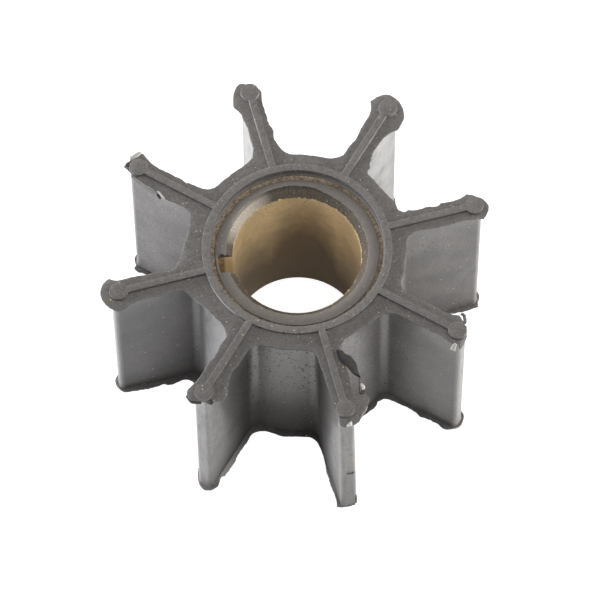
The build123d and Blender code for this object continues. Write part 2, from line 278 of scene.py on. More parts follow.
# How far out each vane's end wall stands at the top and at the bottom, and how far its foot leans across
end_reach = {vane: (28.2, 28.0) for vane in range(1, vane_count + 1)}
end_reach[5] = (28.1, 28.85)
foot_lean = {5: 0.3}
end_corners = {vane: 0.8 for vane in range(1, vane_count + 1)}
end_corners.update({5: 0.55, 6: 0.55})

# Columns of the moulding's mesh in half a vane's share of the outline
hub_steps = 14
fillet_steps = 10
side_steps = 36
tip_steps = 50

# Steps round the ring and round a tip disc
ring_steps = 256
disc_steps = 56


# Curves and meshes

def vane_direction(vane):
    """Direction of a vane in radians, counted clockwise from vane 1 on +Y."""
    return math.pi / 2 - (vane - 1) * 2 * half_pitch


def turned(points, angle):
    """The first two coordinates turned about the bore's axis by an angle in radians."""
    points = np.array(points, float)
    turn = np.array([[math.cos(angle), math.sin(angle)], [-math.sin(angle), math.cos(angle)]])
    points[..., :2] = points[..., :2] @ turn
    return points


def smooth_curve(points, steps=16):
    """A smooth curve through the points: a natural cubic spline over the length of their chords."""
    points = np.asarray(points, float)
    spans = np.linalg.norm(np.diff(points, axis=0), axis=1)
    at = np.concatenate([[0], np.cumsum(spans)])
    inner = np.arange(1, len(points) - 1)
    matrix = np.eye(len(points))
    matrix[inner, inner - 1] = spans[:-1]
    matrix[inner, inner] = 2 * (spans[:-1] + spans[1:])
    matrix[inner, inner + 1] = spans[1:]
    right = np.zeros_like(points)
    right[inner] = 6 * np.diff(np.diff(points, axis=0) / spans[:, None], axis=0)
    bends = np.linalg.solve(matrix, right)
    fine = np.linspace(0, at[-1], steps * (len(points) - 1) + 1)
    span = np.clip(np.searchsorted(at, fine, side="right") - 1, 0, len(points) - 2)
    before = ((at[span + 1] - fine) / spans[span])[:, None]
    after = 1 - before
    curve = (before**3 - before) * bends[span] + (after**3 - after) * bends[span + 1]
    return before * points[span] + after * points[span + 1] + curve * spans[span, None] ** 2 / 6


def spaced(points, count):
    """The line through the points, cut at equal lengths into that many points."""
    points = np.asarray(points, float)
    at = np.concatenate([[0], np.cumsum(np.linalg.norm(np.diff(points, axis=0), axis=1))])
    want = np.linspace(0, at[-1], count)
    return np.column_stack([np.interp(want, at, points[:, i]) for i in range(points.shape[1])])


def wander(count, seed, waves, rough=1.0):
    """A closed line of smooth random values: a sum of sine waves of rising number and falling height."""
    rng = np.random.default_rng(seed)
    number = np.arange(waves[0], waves[1])
    height = number ** -rough
    phase = rng.uniform(0, 2 * math.pi, len(number))
    height = height * rng.normal(size=len(number))
    at = np.linspace(0, 2 * math.pi, count, endpoint=False)
    line = np.sin(np.outer(at, number) + phase) @ height
    return line / np.std(line)


def grid_faces(rows, columns, around=False):
    """Quads between neighbouring rows of points; the columns close up, and with around the rows do too."""
    row = np.arange(rows if around else rows - 1)[:, None]
    column = np.arange(columns)[None, :]
    start, below = row * columns, (row + 1) % rows * columns
    beside = (column + 1) % columns
    quads = [start + column, below + column, below + beside, start + beside]
    return np.stack(np.broadcast_arrays(*quads), axis=-1).reshape(-1, 4)


class Shells:
    """Closed shells that together make one piece."""

    def __init__(self):
        self.points, self.faces, self.tones, self.count = [], [], [], 0

    def add(self, points, faces, tone=0.0):
        points = np.asarray(points, float).reshape(-1, 3)
        self.points.append(points)
        self.faces.extend((np.asarray(faces) + self.count).tolist())
        self.tones.append(np.full(len(points), tone))
        self.count += len(points)

    def piece(self, name, material, sharp=35.0):
        """Makes the mesh in metres, merges points that meet and shades it smooth but for sharp edges."""
        mesh = bpy.data.meshes.new(name)
        mesh.from_pydata((np.vstack(self.points) * MM).tolist(), [], self.faces)
        mesh.attributes.new("tone", "FLOAT", "POINT").data.foreach_set("value", np.concatenate(self.tones))
        work = bmesh.new()
        work.from_mesh(mesh)
        bmesh.ops.remove_doubles(work, verts=work.verts, dist=1e-7)
        bmesh.ops.dissolve_degenerate(work, edges=work.edges, dist=1e-7)
        work.to_mesh(mesh)
        work.free()
        mesh.polygons.foreach_set("use_smooth", np.ones(len(mesh.polygons), bool))
        mesh.set_sharp_from_angle(angle=math.radians(sharp))
        mesh.materials.append(material)
        made = bpy.data.objects.new(name, mesh)
        bpy.context.scene.collection.objects.link(made)
        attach(made, "root")
        return made


def revolved(profile, steps, centre=(0.0, 0.0)):
    """A profile of (radius, height) points carried round a vertical axis."""
    profile = np.asarray(profile, float)
    angle = np.linspace(0, 2 * math.pi, steps, endpoint=False)
    x = profile[:, :1] * np.cos(angle) + centre[0]
    y = profile[:, :1] * np.sin(angle) + centre[1]
    z = np.broadcast_to(profile[:, 1:], x.shape)
    return np.stack([x, y, z], axis=-1)


def at_height(points, height):
    """Points in plan with a height, or a height each, added."""
    return np.hstack([points, np.broadcast_to(np.reshape(height, (-1, 1)), (len(points), 1))])


def inside_box(points):
    """The points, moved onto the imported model's box where they lie outside it."""
    return np.clip(points, np.divide(cad_box[0], MM), np.divide(cad_box[1], MM))


def bead_corner(width, height=top):
    """The rounded edge of a bead as (outwards, height): a quarter circle from its top outwards and down."""
    turn = np.radians([90, 60, 30, 0])
    return np.column_stack([width - bead_round + bead_round * np.cos(turn),
                            height - bead_round + bead_round * np.sin(turn)])


def upside_down(points, faces):
    """The same shell at the other end of the impeller, with its faces still pointing outwards."""
    points = np.array(points, float).reshape(-1, 3)
    points[:, 2] = top - points[:, 2]
    return points, np.asarray(faces)[:, ::-1]


# Outlines of the moulding

def root_run(radius, half_width, corner_round):
    """From the middle of the gap to the end of the root fillet, on the clockwise side of a vane.

    An arc of the hub circle, then an arc of the fillet circle, which touches the hub circle and the side.
    """
    across = half_width + corner_round
    along = math.sqrt((radius + corner_round) ** 2 - across**2)
    touch = math.atan2(across, along)
    arc = np.linspace(-half_pitch, -touch, hub_steps, endpoint=False)
    turn = np.linspace(math.pi - touch, math.pi / 2, fillet_steps, endpoint=False)
    hub = radius * np.column_stack([np.cos(arc), np.sin(arc)])
    fillet = np.column_stack([along + corner_round * np.cos(turn), -across + corner_round * np.sin(turn)])
    return np.vstack([hub, fillet]), along


def square_end(vane, level):
    """Straight sides from the start of the tip and an almost flat end with rounded corners."""
    reach, end_corner = end_reach[vane][level], end_corners[vane]
    turn = np.linspace(0, math.pi / 2, 14)
    corner = np.column_stack([reach - end_corner + end_corner * np.sin(turn),
                              vane_half - end_corner + end_corner * np.cos(turn)])
    corner[:, 0] -= end_crown * (corner[:, 1] / vane_half) ** 2
    end = np.vstack([[(lobe_start, -vane_half)], corner * (1, -1), corner[::-1], [(lobe_start, vane_half)]])
    if level == 1:
        end[:, 1] += foot_lean.get(vane, 0) * (end[:, 0] - lobe_start) / (reach - lobe_start)
    return end


def whole_outline(shares):
    """The eight shares turned to their vanes, anticlockwise round the impeller."""
    order = range(vane_count, 0, -1)
    return np.vstack([turned(shares[vane - 1], vane_direction(vane)) for vane in order])


def wall_outline(level):
    """Outline of the walls at the top (level 0) or bottom (level 1), anticlockwise round the impeller.

    Each vane's share runs from the middle of the gap, round its root fillet, along its straight side,
    round its end and back.
    """
    root, along = root_run(hub_radius, vane_half, root_round)
    run = np.linspace(along, lobe_start, side_steps, endpoint=False)
    there = np.vstack([root, np.column_stack([run, np.full(side_steps, -vane_half)])])
    shares = []
    for vane in range(1, vane_count + 1):
        tip = spaced(square_end(vane, level), 2 * tip_steps)
        shares.append(np.vstack([there, tip, there[::-1] * (1, -1)]))
    return whole_outline(shares)


def matched(points, other):
    """The line through the points, cut in the same shares of its length as the other line is."""
    points = np.asarray(points, float)
    at = np.concatenate([[0], np.cumsum(np.linalg.norm(np.diff(points, axis=0), axis=1))])
    want = np.concatenate([[0], np.cumsum(np.linalg.norm(np.diff(other, axis=0), axis=1))])
    want *= at[-1] / want[-1]
    return np.column_stack([np.interp(want, at, points[:, i]) for i in range(2)])


def flash_outline(wall, tips, gaps):
    """Torn tip edges and gap edges in turn round the impeller, each matched to its stretch of the wall."""
    half_gap = hub_steps + fillet_steps + side_steps
    wall = np.roll(wall, -half_gap, axis=0)
    parts = []
    for vane in range(vane_count, 0, -1):
        stretches = [smooth_curve(stretch) for stretch in tips.get(vane, lower_tip)]
        tip = np.vstack(stretches) + (tip_disc_centre, 0)
        parts.append(turned(spaced(tip, 2 * tip_steps), vane_direction(vane)))
        after = vane - 1 if vane > 1 else vane_count
        gap = turned(smooth_curve(gaps.get(after, lower_gap)[::-1]), vane_direction(after) - half_pitch)
        start = sum(len(part) for part in parts)
        parts.append(matched(gap, np.vstack([wall, wall[:1]])[start - 1:start + 2 * half_gap + 1])[1:-1])
    return np.roll(np.vstack(parts), half_gap, axis=0)


def spine_outline():
    """Inner line of the end faces: a circle under the ring, and the middle line of each vane."""
    circle = np.linspace(-half_pitch, 0, hub_steps + fillet_steps, endpoint=False)
    hub = spine_start * np.column_stack([np.cos(circle), np.sin(circle)])
    side = np.linspace(spine_start, lobe_start, side_steps, endpoint=False)
    tip = np.linspace(lobe_start, spine_end, tip_steps)
    middle = np.concatenate([side, tip])
    there = np.vstack([hub, np.column_stack([middle, np.zeros_like(middle)])])
    return whole_outline([np.vstack([there, there[::-1] * (1, -1)])] * vane_count)


def torn_lip(wall, flash, waves, most):
    """Direction and length from the wall to the edge of the flash.

    The sum of random closed lines, each given by its height and by what wander takes, is kept within a most
    and added to the length.
    """
    way = flash - wall
    reach = np.linalg.norm(way, axis=1, keepdims=True)
    torn = sum(height * wander(len(wall), *wave) for height, *wave in waves)
    return way / reach, reach + np.clip(torn, -most, most)[:, None]


def add_star(shells):
    """Hub and vanes with their flash: rows of the outline from the upper face down to the lower face.

    Each flash is a thin lip whose edge is a half circle. The upper one sags with the square of its reach
    beyond the start of the sag.
    """
    wall, foot, spine = wall_outline(0), wall_outline(1), spine_outline()
    upper = flash_outline(wall, tip_edges, gap_edges)
    lower = flash_outline(foot, lower_tip_edges, lower_gap_edges)
    upper_waves = [(0.028, 7, (60, 520), 0.6), (0.03, 8, (20, 120), 0.8)]
    lower_waves = [(0.03, 9, (60, 420), 0.7), (0.04, 10, (12, 90), 0.8)]
    upper_way, upper_reach = torn_lip(wall, upper, upper_waves, most=0.12)
    lower_way, lower_reach = torn_lip(foot, lower, lower_waves, most=0.15)
    half = flash_thickness / 2
    half_circle = np.radians(range(90, -91, -30))
    sag = flash_sag * np.maximum(upper_reach - sag_start, 0) ** 2
    rows = [at_height(line, upper_face) for line in (spine, (spine + wall) / 2, wall)]
    rows.append(at_height(wall + upper_way * (upper_reach - half) * 0.5, upper_face - sag * 0.25))
    for turn in half_circle:
        edge = wall + upper_way * (upper_reach - half + half * math.cos(turn))
        rows.append(at_height(edge, upper_face - half + half * math.sin(turn) - sag))
    under = wall + upper_way * np.minimum(upper_reach - half, flash_root)
    rows.append(at_height(under, upper_face - flash_thickness))
    for share in (0.015, 0.2, 0.5, 0.8, 0.985):
        height = upper_face - flash_thickness - share * (upper_face - lower_face - 2 * flash_thickness)
        rows.append(at_height(wall + share * (foot - wall), height))
    rows.append(at_height(foot + lower_way * flash_root, lower_face + flash_thickness))
    for turn in half_circle:
        edge = foot + lower_way * (lower_reach - half + half * math.cos(turn))
        rows.append(at_height(edge, lower_face + half + half * math.sin(turn)))
    rows += [at_height(line, lower_face) for line in (foot, (spine + foot) / 2, spine)]

    count = len(wall)
    share = 2 * (hub_steps + fillet_steps + side_steps + tip_steps)
    column = np.arange(count)
    hub_columns = hub_steps + fillet_steps
    column = column[(column % share < hub_columns) | (column % share >= share - hub_columns - 1)]
    last = (len(rows) - 1) * count
    beside = (column + 1) % count
    inner = np.column_stack([last + column, column, beside, last + beside])
    shells.add(inside_box(np.stack(rows)), np.vstack([grid_faces(len(rows), count), inner]))


def add_ring(shells):
    """Rubber wall round the bush, with the ring bead at both ends: one profile carried round the axis."""
    inner_edge = bead_corner(-mouth_radius)[::-1] * (-1, 1)
    upper = np.vstack([[(bush_radius, bush_top)], inner_edge, bead_corner(ring_radius)])
    lower = upper[::-1] * (1, -1) + (0, top)
    profile = np.vstack([upper, lower])
    shells.add(revolved(profile, ring_steps), grid_faces(len(profile), ring_steps, around=True))


def add_tip_disc(shells, vane):
    """Low disc with a rounded rim: a profile carried round the disc's centre."""
    bottom = [(tip_disc_radius + bead_draft, bead_bottom), (0, bead_bottom)]
    profile = np.vstack([[(0, top)], bead_corner(tip_disc_radius), bottom])
    centre = turned([(tip_disc_centre, 0.0)], vane_direction(vane))[0]
    points, faces = revolved(profile, disc_steps, centre), grid_faces(len(profile), disc_steps)
    shells.add(points, faces)
    shells.add(*upside_down(points, faces))


def closed_ends(rows):
    """Rows of points with a row at each end that gathers the end row in its middle."""
    ends = [np.broadcast_to(rows[i].mean(axis=0), rows[i].shape) for i in (0, -1)]
    return np.concatenate([[ends[0]], rows, [ends[1]]])


def add_rib(shells, vane):
    """Bar from the ring to the tip disc: a rounded section carried along the vane's middle."""
    left = np.vstack([bead_corner(rib_half, rib_top), [(rib_half + bead_draft, bead_bottom)]]) * (-1, 1)
    section = np.vstack([left[::-1] * (-1, 1), left])
    along = np.linspace(ring_radius - 0.6, tip_disc_centre - 1.0, 30)
    rows = closed_ends(np.stack([np.column_stack([np.full(len(section), a), section]) for a in along]))
    points, faces = turned(rows, vane_direction(vane)), grid_faces(len(rows), len(section))
    shells.add(points, faces)
    shells.add(*upside_down(points, faces))


def add_torn_bit(shells, vane, edge_a, edge_b, bulge, tone):
    """Thin curled strip between two smooth edges, bulged up as a parabola between them.

    Its section is a lens that is thin at both edges, carried along them and closed at both ends.
    """
    count, columns = 28, 7
    first, last = spaced(smooth_curve(edge_a), count), spaced(smooth_curve(edge_b), count)
    across = np.linspace(0, 1, columns)[None, :, None]
    middle = first[:, None] * (1 - across) + last[:, None] * across
    normal = np.cross(np.gradient(middle, axis=0), (last - first)[:, None])
    normal /= np.linalg.norm(normal, axis=2, keepdims=True)
    normal *= np.where(normal[..., 2:].mean() < 0, -1, 1)
    arch = 4 * across * (1 - across)
    middle = middle + normal * bulge * arch
    depth = normal * flash_thickness * (0.2 + 0.3 * np.sqrt(arch))
    ring = np.concatenate([middle + depth, (middle - depth)[:, ::-1]], axis=1)
    ring = inside_box(turned(closed_ends(ring), vane_direction(vane)))
    faces = grid_faces(count + 2, 2 * columns)
    a, b, c, d = np.moveaxis(ring.reshape(-1, 3)[faces] - ring.mean(axis=(0, 1)), 1, 0)
    volume = np.sum(a * (np.cross(b, c) + np.cross(c, d)))
    shells.add(ring, faces if volume > 0 else faces[:, ::-1], tone)


# Bush and films

def keyed_outline(radius, circle_steps=360, side_count=14, floor_steps=24):
    """Bore of a given radius that opens into the keyway, anticlockwise from the keyway's edge."""
    mouth = math.asin(keyway_half / radius)
    floor = math.asin(keyway_half / keyway_radius)
    circle = np.linspace(mouth, 2 * math.pi - mouth, circle_steps, endpoint=False)
    arc = np.linspace(-floor, floor, floor_steps, endpoint=False)
    out = np.linspace(radius, keyway_radius, side_count, endpoint=False)
    back = np.linspace(keyway_radius, radius, side_count, endpoint=False)
    return np.vstack([
        radius * np.column_stack([np.cos(circle), np.sin(circle)]),
        np.column_stack([np.sqrt(out**2 - keyway_half**2), np.full(side_count, -keyway_half)]),
        keyway_radius * np.column_stack([np.cos(arc), np.sin(arc)]),
        np.column_stack([np.sqrt(back**2 - keyway_half**2), np.full(side_count, keyway_half)]),
    ])


def at_least(points, radius):
    """Points inside a radius moved out to it: along the keyway's side if on it, otherwise straight out."""
    far = np.linalg.norm(points, axis=1)
    on_side = np.isclose(np.abs(points[:, 1]), keyway_half) & (points[:, 0] > 0) & (far > bore_radius + 1e-6)
    slid = np.column_stack([np.sqrt(np.maximum(radius**2 - points[:, 1] ** 2, 0)), points[:, 1]])
    pushed = points * (radius / far)[:, None]
    moved = np.where(on_side[:, None], slid, pushed)
    return np.where((far < radius)[:, None], moved, points)


def add_bush(shells):
    """Bore wall with its keyway, a cone at each end, the end faces and the outer wall, as closed rows."""
    bore = keyed_outline(bore_radius)
    cone = at_least(bore, lead_in_radius)
    far = np.linalg.norm(bore, axis=1)
    drop = np.maximum(0, lead_in_radius - far)
    outer = bore * (bush_radius / far)[:, None]
    middle = (bush_top + bush_bottom) / 2
    end = [cone, (cone + outer) / 2, outer]
    rows = [at_height(bore, middle + share * (bush_top - middle - drop)) for share in np.linspace(-1, 1, 25)]
    rows += [at_height(line, bush_top) for line in end] + [at_height(line, bush_bottom) for line in end[::-1]]
    shells.add(turned(rows, keyway_angle), grid_faces(len(rows), len(bore), around=True))


def add_film(shells, base, facing, seed):
    """Thin rubber ring on an end of the bush: rounded edges, a wavy rim, worn narrower on one side.

    The wear is a smooth step of the cosine of the angle from its middle; the edge is ragged at the keyway.
    """
    inner = keyed_outline(lead_in_radius)
    count = len(inner)
    far = np.linalg.norm(inner, axis=1, keepdims=True)
    wave = 0.035 * wander(count, seed, (3, 40), 0.8)[:, None]
    torn = 0.03 * wander(count, seed + 1, (20, 200), 0.5)[:, None]
    azimuth = np.arctan2(inner[:, 1:], inner[:, :1]) + keyway_angle
    worn_side = np.clip((np.cos(azimuth - worn_angle) - 0.55) / 0.35, 0, 1)
    worn_side = worn_side**2 * (3 - 2 * worn_side)
    outer = inner * (film_radius - 0.2 * worn_side + wave * 0.6) / far
    on_side = (np.abs(inner[:, 1:]) > keyway_half - 0.02) & (inner[:, :1] > 0) & (far > lead_in_radius + 1e-6)
    inner = inner + np.where(on_side, 0, inner / far * (torn + wave * 0.5 + 0.5 * worn_side))
    ragged = 0.16 * np.abs(wander(count, seed + 2, (60, 300), 0.4))[:, None]
    rear = on_side[:, 0] & (inner[:, 1] < 0)
    inner[rear, 1] += ragged[rear, 0]
    unit = (outer - inner) / np.linalg.norm(outer - inner, axis=1, keepdims=True)
    edge = film_thickness / 2
    half_circle = np.radians([-90, -45, 0, 45, 90])
    rows = [at_height(inner + unit * edge * (1 - math.cos(turn)), edge + edge * math.sin(turn))
            for turn in half_circle]
    rows.append(at_height((inner + outer) / 2, film_thickness))
    rows += [at_height(outer - unit * edge * (1 - math.cos(turn)), edge + edge * math.sin(turn))
             for turn in half_circle[::-1]]
    rows = turned(rows, keyway_angle) * (1, 1, facing) + (0, 0, base)
    shells.add(rows, grid_faces(len(rows), count, around=True)[:, ::facing])


# Materials

class Nodes:
    """Adds nodes to one shader tree. A socket given as a value is linked, and any other value is set."""

    def __init__(self, tree):
        self.tree = tree

    def put(self, target, value):
        if isinstance(value, bpy.types.NodeSocket):
            self.tree.links.new(value, target)
        else:
            target.default_value = (*value, 1.0) if target.type == "RGBA" else value

    def add(self, kind, values=None, **settings):
        """Adds a node; its values are given by the name or number of the input."""
        made = self.tree.nodes.new("ShaderNode" + kind)
        for name, value in settings.items():
            setattr(made, name, value)
        for name, value in (values or {}).items():
            self.put(made.inputs[name], value)
        return made

    def alone(self, operation, value):
        """Arithmetic on one value."""
        return self.add("Math", {0: value}, operation=operation).outputs[0]

    def maths(self, operation, first, *others):
        """Arithmetic carried on from the first value through each of the others."""
        for other in others:
            first = self.add("Math", {0: first, 1: other}, operation=operation).outputs[0]
        return first

    def times(self, *values):
        return self.maths("MULTIPLY", *values)

    def plus(self, *values):
        return self.maths("ADD", *values)

    def minus(self, first, second):
        return self.maths("SUBTRACT", first, second)

    def fade(self, value, start, end, to_start=0.0, to_end=1.0):
        """A value taken from one range to another and kept inside it."""
        ends = {"Value": value, "From Min": start, "From Max": end, "To Min": to_start, "To Max": to_end}
        return self.add("MapRange", ends).outputs[0]

    def lay(self, base, colour, *shares):
        """Lays a colour over a base colour, by the product of the shares."""
        values = {"Factor": self.times(*shares), 6: base, 7: colour}
        return self.add("Mix", values, data_type="RGBA").outputs[2]

    def place(self):
        """Where a point lies on its object, in metres."""
        return self.add("TexCoord").outputs["Object"]

    def noise(self, place, scale, detail=3.0, roughness=0.5):
        values = {"Vector": place, "Scale": scale, "Detail": detail, "Roughness": roughness}
        return self.add("TexNoise", values).outputs[0]

    def drawn_out(self, place, share):
        """The place with its height taken times a share, which draws a pattern out upwards."""
        return self.add("Mapping", {"Vector": place, "Scale": (1, 1, share)}).outputs[0]

    def facing(self):
        """Height of the surface's normal: 1 where it faces up and 0 on a wall."""
        return self.add("SeparateXYZ", {0: self.add("NewGeometry").outputs["Normal"]}).outputs[2]

    def bump(self, relief, strength, depth):
        """A normal for a relief whose depth is in millimetres."""
        values = {"Height": relief, "Strength": strength, "Distance": depth * MM}
        return self.add("Bump", values).outputs[0]

    def group(self, group, values):
        return self.add("Group", values, node_tree=group).outputs

    def round_bore(self, place, angle):
        return self.group(bore_place, {"Place": place, "Angle": angle})

    def speckle(self, base, colour, where, place, scale, size, share):
        """Lays specks of a colour over a base colour where a mask allows, and gives their mask too."""
        mask = self.group(specks, {"Place": place, "Scale": scale, "Size": size, "Share": share})[0]
        mask = self.times(mask, where)
        return self.lay(base, colour, mask), mask


def make_group(name, inputs, outputs):
    """A shader node group with named vector inputs and number inputs, and outputs that are numbers."""
    group = bpy.data.node_groups.new(name, "ShaderNodeTree")
    for socket in inputs:
        kind = "NodeSocketVector" if socket == "Place" else "NodeSocketFloat"
        group.interface.new_socket(socket, in_out="INPUT", socket_type=kind)
    for socket in outputs:
        group.interface.new_socket(socket, in_out="OUTPUT", socket_type="NodeSocketFloat")
    given, result = group.nodes.new("NodeGroupInput"), group.nodes.new("NodeGroupOutput")
    return group, Nodes(group), given.outputs, result.inputs


def speck_group():
    """Small round specks, one in some of the cells of a random pattern, with a soft edge."""
    group, nodes, given, result = make_group("specks", ["Place", "Scale", "Size", "Share"], ["Mask"])
    cells = nodes.add("TexVoronoi", {"Vector": given["Place"], "Scale": given["Scale"]}).outputs
    chance = nodes.add("SeparateColor", {"Color": cells["Color"]}).outputs
    size = nodes.times(given["Size"], nodes.fade(chance[1], 0, 1, 0.45, 1.0))
    inside = nodes.maths("DIVIDE", nodes.minus(size, cells["Distance"]), nodes.times(size, 0.5))
    chosen = nodes.maths("LESS_THAN", chance[0], given["Share"])
    nodes.put(result["Mask"], nodes.times(nodes.fade(inside, 0, 1), chosen))
    return group


def bore_place_group():
    """Where a point lies round the bore, in millimetres.

    Along and Across are its distances along a direction and to the left of it, Radius is the length of the
    two, and Cosine is Along over Radius.
    """
    group, nodes, given, result = make_group("bore_place", ["Place", "Angle"],
                                             ["Radius", "Height", "Along", "Across", "Cosine"])
    axes = nodes.add("SeparateXYZ", {0: given["Place"]}).outputs
    x, y, height = [nodes.maths("DIVIDE", axis, MM) for axis in axes]
    cosine, sine = nodes.alone("COSINE", given["Angle"]), nodes.alone("SINE", given["Angle"])
    along = nodes.plus(nodes.times(x, cosine), nodes.times(y, sine))
    across = nodes.minus(nodes.times(y, cosine), nodes.times(x, sine))
    radius = nodes.alone("SQRT", nodes.plus(nodes.times(x, x), nodes.times(y, y)))
    values = {"Radius": radius, "Height": height, "Along": along, "Across": across,
              "Cosine": nodes.maths("DIVIDE", along, radius)}
    for name, value in values.items():
        nodes.put(result[name], value)
    return group


specks = speck_group()
bore_place = bore_place_group()


def new_material(name):
    """A material with its nodes and its Principled shader's inputs."""
    material = bpy.data.materials.new(name)
    material.use_nodes = True
    nodes = Nodes(material.node_tree)
    shader = next(n for n in material.node_tree.nodes if n.type == "BSDF_PRINCIPLED")
    return material, nodes, shader.inputs


def rubber_material():
    """Matt dark grey rubber with cloudy colour and fine grain.

    The walls have darker patches, and the vane ends are worn pale in streaks. Painted shade lies low down on
    the walls, near the hub, in the corners and along the foot of the beads, most of all on the front side,
    where the hub wall is also pitted. The hub wall has a patch of painted light between vanes 6 and 7, the
    walls of vane 7 carry painted shade, the end of vane 5 is stained at its foot, and the walls at the back
    are painted pale as a reflection. The upper flash's edges are painted dark as shade, the lower flash is
    painted dark as shade with painted light on the front, the tops are painted darker towards the front and
    the rounded top edges of the beads darker as shade, the films are browner and painted lighter as light in
    their recess, and pale dust and brass specks lie on what faces up. A torn bit's attribute paints it black
    as shade or pale as a highlight.
    """
    material, nodes, shader = new_material("moulded_rubber")
    place = nodes.place()
    times, fade, lay, noise, speckle = nodes.times, nodes.fade, nodes.lay, nodes.noise, nodes.speckle
    front_place = nodes.round_bore(place, front_angle)
    radius, height, front = front_place["Radius"], front_place["Height"], front_place["Along"]
    front_side = fade(front_place["Cosine"], 0.5, 0.9, 0.6, 1.0)
    facing = nodes.facing()
    up = fade(facing, 0.6, 0.95)
    wall = fade(nodes.alone("ABSOLUTE", facing), 0.9, 0.5)
    rounded = times(fade(facing, 0.05, 0.35), fade(facing, 0.97, 0.75))
    clouds = noise(place, 260, 4, 0.6)
    mottle = noise(place, 1100, 4, 0.65)
    grain = noise(place, 3400, 2, 0.6)

    texture = fade(up, 0.0, 1.0, 1.0, 0.7)
    body = lay((0.078, 0.071, 0.066), (0.100, 0.091, 0.085), fade(clouds, 0.35, 0.65))
    body = lay(body, (0.135, 0.124, 0.116), fade(mottle, 0.38, 0.66), texture)
    body = lay(body, (0.185, 0.171, 0.160), fade(grain, 0.4, 0.68), texture)
    patches = fade(noise(place, 140, 4, 0.6), 0.42, 0.62, 0.0, 0.5)
    body = lay(body, (0.045, 0.042, 0.040), patches, fade(radius, 15.7, 17.5, 0.4, 1.0), wall)
    body = lay(body, (0.17, 0.155, 0.145), up, fade(height, upper_face + 0.2, upper_face + 0.3, 0.0, 0.05))
    worn = times(fade(radius, 27.3, 28.0), wall)
    unworn = fade(worn, 0.0, 1.0, 1.0, 0.3)
    streaks = fade(noise(nodes.drawn_out(place, 0.2), 1500, 3, 0.6), 0.35, 0.62, 0.35, 0.8)
    body = lay(body, (0.21, 0.197, 0.185), worn, streaks)
    vane_5 = nodes.round_bore(place, vane_direction(5))
    stained = fade(nodes.minus(height, vane_5["Across"]), 13, 9.5, 0.0, 0.35)
    body = lay(body, (0.06, 0.056, 0.052), fade(vane_5["Along"], 27.5, 28.3), stained, wall)

    # Painted shade: the walls darken low down, near the hub and in the corners, most of all on the front
    # side.
    near_hub = times(fade(radius, 24.5, 16.5, 0.2, 1.0),
                     nodes.maths("MAXIMUM", fade(radius, 15.7, 16.6), fade(height, 18, 8, 0.35, 0.75)))
    painted_shade = times(fade(height, 24, 5), near_hub, wall, front_side)
    corner = times(fade(radius, 25, 18), fade(radius, 15.7, 16.8), fade(front_side, 0.75, 1.0), wall,
                   fade(height, 30, 22, 0.6, 0.97))
    painted_shade = times(nodes.maths("MAXIMUM", painted_shade, corner), unworn)
    body = lay(body, (0.025, 0.023, 0.022), painted_shade, fade(clouds, 0.3, 0.7, 0.75, 1.0))
    # Painted shade on the sides of the beads, along their foot.
    from_middle = nodes.alone("ABSOLUTE", nodes.minus(height, top / 2))
    bead_foot_shade = times(fade(from_middle, top / 2 - bead_height - 0.03, top / 2 - bead_height + 0.01),
                      fade(from_middle, top / 2 - 0.2, top / 2 - 0.1, 1.0, 0.0))
    body = lay(body, (0.02, 0.018, 0.017), bead_foot_shade, wall, 0.75)
    pitted = nodes.maths("MAXIMUM", fade(noise(place, 120, 1), 0.57, 0.72),
                         times(fade(front_side, 0.6, 0.95), fade(height, 10, 16)))
    pitted = times(pitted, wall, fade(radius, 22, 16.5, 0.3, 1.0))
    body, pits = speckle(body, (0.012, 0.011, 0.010), pitted, nodes.drawn_out(place, 0.5), 1800, 0.45, 0.95)

    # The lower flash: painted dark as shade, and pale with painted light on the front.
    lit_front_flash = times(fade(front_side, 0.7, 0.95), fade(radius, 17, 23), fade(radius, 25.5, 27.5, 1.0, 0.3))
    lower_flash_shade_and_light = lay((0.045, 0.042, 0.039), (0.48, 0.46, 0.44), lit_front_flash)
    body = lay(body, lower_flash_shade_and_light, up, fade(height, 2.0, 1.2), fade(lit_front_flash, 0.0, 1.0, 0.5, 0.85))
    # Painted shade on the upper flash's edge and on the wall just under the flash.
    flash_edge_shade = times(fade(height, upper_face - 0.5, upper_face - 0.3),
                    fade(height, upper_face - 0.02, upper_face, 1.0, 0.0), fade(up, 0.0, 1.0, 0.7, 0.0))
    body = lay(body, (0.045, 0.042, 0.039), flash_edge_shade)
    # Painted shade: the tops outside the hub are darker towards the front.
    body = lay(body, (0.035, 0.032, 0.030), fade(front, -8, 20, 0.0, 0.28), up, fade(radius, 14.2, 15.2))
    # The films: browner, and painted lighter as light in their recess.
    body = lay(body, (0.185, 0.160, 0.135), up, fade(radius, 12.7, 12.5, 0.0, 0.55))
    # A patch of painted light on the hub wall between vanes 6 and 7.
    painted_light_patch = times(fade(nodes.round_bore(place, painted_light_angle)["Cosine"], 0.955, 0.99, 0.0, 0.95), wall)
    body = lay(body, (0.250, 0.240, 0.236), painted_light_patch, fade(radius, 20, 16), fade(mottle, 0.35, 0.55, 0.45, 1.0))
    # Painted shade on the walls of vane 7.
    vane_7_shade = fade(nodes.round_bore(place, vane_direction(7))["Cosine"], 0.97, 0.995, 0.0, 0.5)
    body = lay(body, (0.030, 0.028, 0.027), vane_7_shade, unworn, wall)
    # Painted reflection: the walls at the back are painted pale.
    body = lay(body, (0.235, 0.228, 0.220), fade(front, -13, -19), fade(clouds, 0.38, 0.6, 0.15, 0.8), wall)

